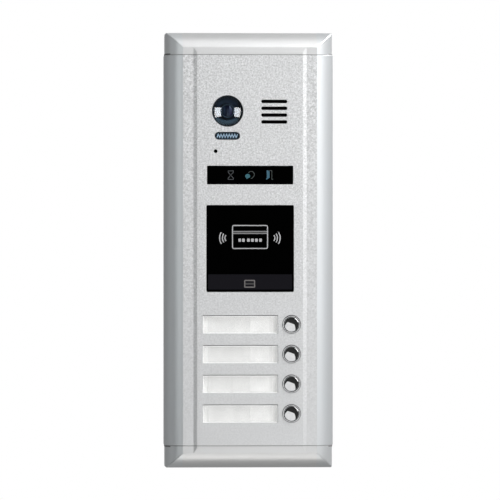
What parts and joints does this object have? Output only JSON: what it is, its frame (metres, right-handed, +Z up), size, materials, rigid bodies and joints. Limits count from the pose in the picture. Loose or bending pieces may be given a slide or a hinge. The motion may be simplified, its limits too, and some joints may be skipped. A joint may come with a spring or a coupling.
{
  "type": "door intercom panel",
  "caption": "Wall-mounted door station with a camera window, loudspeaker slots, card reader, name plates beside sprung call buttons, and a rear bracket.",
  "frame": {"origin": "centre of the wall bracket's rear face, on the wall plane", "axes": "+Z up along the panel's long axis, +Y into the wall, so the front faces -Y, +X to the right of someone facing the front"},
  "size_m": [0.138, 0.0465, 0.3556],
  "materials": {
    "silver_paint": "sand-textured satin silver coating on an aluminium extrusion",
    "cap_silver": "smooth satin silver coating",
    "zinc_steel": "zinc-plated steel, satin",
    "seal_rubber": "matte black",
    "black_plastic": "matte, slightly grained",
    "clear_plastic": "clear, glossy",
    "gloss_black": "high gloss black",
    "smoke_plastic": "smoked, glossy",
    "lens_glass": "coated glass with blue-violet glints",
    "circuit_board": "green solder mask",
    "milky_plastic": "milky diffuser",
    "dark_metal": "dark grey, satin",
    "black_cloth": "matte woven",
    "card_paper": "matte white",
    "chrome": "polished chrome",
    "green_plastic": "green terminal plastic",
    "blue_plastic": "blue"
  },
  "bodies": {
    "panel": {"antenna_board": "circuit_board", "bottom_end_cap": "cap_silver", "button_bezel_1": "chrome", "button_bezel_2": "chrome", "button_bezel_3": "chrome", "button_bezel_4": "chrome", "button_board": "circuit_board", "button_spring_1": "zinc_steel", "button_spring_2": "zinc_steel", "button_spring_3": "zinc_steel", "button_spring_4": "zinc_steel", "call_switch_1": "black_plastic", "call_switch_2": "black_plastic", "call_switch_3": "black_plastic", "call_switch_4": "black_plastic", "camera_board": "circuit_board", "camera_dome": "clear_plastic", "camera_socket": "black_plastic", "dome_seal": "seal_rubber", "front_panel": "silver_paint", "inner_chassis": "black_plastic", "lamp_board": "milky_plastic", "lamp_window": "clear_plastic", "main_board": "circuit_board", "microphone": "dark_metal", "name_card_1": "card_paper", "name_card_2": "card_paper", "name_card_3": "card_paper", "name_card_4": "card_paper", "name_light_guide": "milky_plastic", "name_window_1": "clear_plastic", "name_window_2": "clear_plastic", "name_window_3": "clear_plastic", "name_window_4": "clear_plastic", "reader_strip": "smoke_plastic", "reader_window": "gloss_black", "rear_cover": "black_plastic", "rear_cover_screw_1": "zinc_steel", "rear_cover_screw_2": "zinc_steel", "rear_cover_screw_3": "zinc_steel", "rear_cover_screw_4": "zinc_steel", "security_screw": "zinc_steel", "speaker_cone": "black_cloth", "speaker_frame": "dark_metal", "speaker_mesh": "black_cloth", "status_light_guide": "black_plastic", "status_window": "gloss_black", "terminal_block": "green_plastic", "top_end_cap": "cap_silver", "volume_trimmer": "black_plastic", "wall_bracket": "zinc_steel", "wall_seal": "seal_rubber"},
    "camera_gimbal": {"camera_gimbal_ring": "black_plastic"},
    "camera_eye": {"camera_ball": "gloss_black", "camera_lens": "lens_glass"},
    "volume_dial": {"volume_knob": "blue_plastic"},
    "call_button_1": {"button_cap_1": "chrome"},
    "call_button_2": {"button_cap_2": "chrome"},
    "call_button_3": {"button_cap_3": "chrome"},
    "call_button_4": {"button_cap_4": "chrome"}
  },
  "joints": [
    {"name": "camera_pan", "type": "hinge", "parent": "panel", "child": "camera_gimbal", "pos_m": [-0.0184, -0.031, 0.1135], "axis": [0, 0, 1], "range_deg": [-10, 10]},
    {"name": "camera_tilt", "type": "hinge", "parent": "camera_gimbal", "child": "camera_eye", "pos_m": [-0.0184, -0.031, 0.1135], "axis": [1, 0, 0], "range_deg": [-10, 10]},
    {"name": "call_button_1_press", "type": "slide", "parent": "panel", "child": "call_button_1", "axis": [0, 1, 0], "range_m": [0, 0.0012], "stiffness_N_per_m": 800, "springref_m": -0.0015, "deforming": ["button_spring_1"]},
    {"name": "call_button_2_press", "type": "slide", "parent": "panel", "child": "call_button_2", "axis": [0, 1, 0], "range_m": [0, 0.0012], "stiffness_N_per_m": 800, "springref_m": -0.0015, "deforming": ["button_spring_2"]},
    {"name": "call_button_3_press", "type": "slide", "parent": "panel", "child": "call_button_3", "axis": [0, 1, 0], "range_m": [0, 0.0012], "stiffness_N_per_m": 800, "springref_m": -0.0015, "deforming": ["button_spring_3"]},
    {"name": "call_button_4_press", "type": "slide", "parent": "panel", "child": "call_button_4", "axis": [0, 1, 0], "range_m": [0, 0.0012], "stiffness_N_per_m": 800, "springref_m": -0.0015, "deforming": ["button_spring_4"]},
    {"name": "volume_turn", "type": "hinge", "parent": "panel", "child": "volume_dial", "pos_m": [0.018, -0.011, 0.082], "axis": [0, 1, 0], "range_deg": [-135, 135]}
  ]
}
